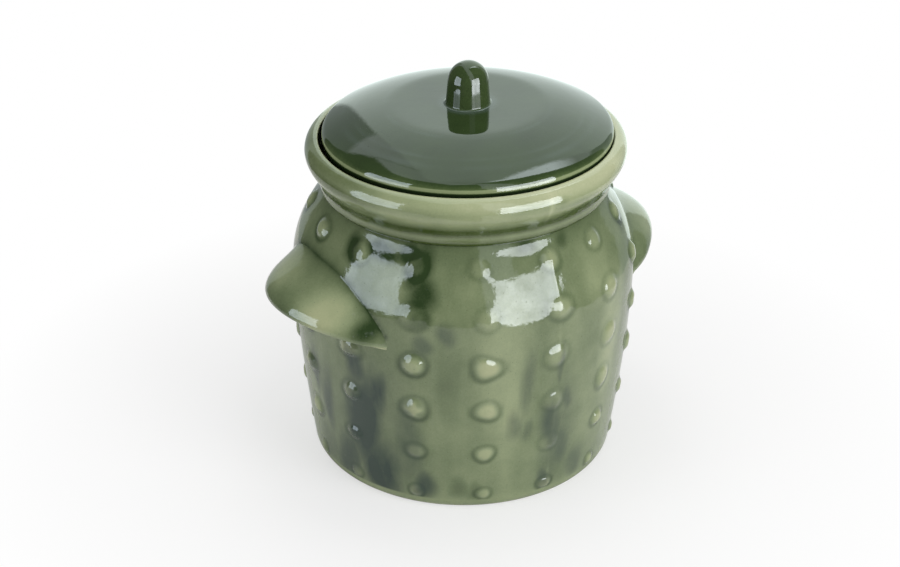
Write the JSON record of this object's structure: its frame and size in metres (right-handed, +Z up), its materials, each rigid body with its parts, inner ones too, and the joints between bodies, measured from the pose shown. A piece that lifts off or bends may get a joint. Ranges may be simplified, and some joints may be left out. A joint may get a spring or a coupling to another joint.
{
  "type": "water-sealed fermentation crock",
  "caption": "Round stoneware fermentation crock with a rolled water-trough collar, hooded lugs, a knobbed lid and a split weight inside.",
  "frame": {"origin": "centre of the foot, on the surface that the crock stands on", "axes": "+Z up along the turning axis; +X through the right lug, so the lugs lie on +X and -X; -Y towards the front"},
  "size_m": [0.2396, 0.1951, 0.2331],
  "materials": {
    "body_glaze": "gloss green glaze on stoneware",
    "collar_glaze": "gloss pale green glaze on stoneware",
    "lid_glaze": "gloss dark green glaze on stoneware",
    "weight_clay": "matt unglazed stoneware"
  },
  "bodies": {
    "crock": {"crock_vessel": "body_glaze", "water_seal_collar": "collar_glaze", "left_handle": "body_glaze", "right_handle": "body_glaze"},
    "lid": {"lid": "lid_glaze", "lid_knob": "lid_glaze"},
    "front_weight": {"front_weight_half": "weight_clay"},
    "back_weight": {"back_weight_half": "weight_clay"}
  },
  "joints": [
    {"name": "lid_lift", "type": "slide", "parent": "crock", "child": "lid", "axis": [0, 0, 1], "range_m": [0, 0.1]},
    {"name": "front_weight_lift", "type": "slide", "parent": "crock", "child": "front_weight", "axis": [0, 0, 1], "range_m": [0, 0.11]},
    {"name": "back_weight_lift", "type": "slide", "parent": "crock", "child": "back_weight", "axis": [0, 0, 1], "range_m": [0, 0.11]}
  ]
}
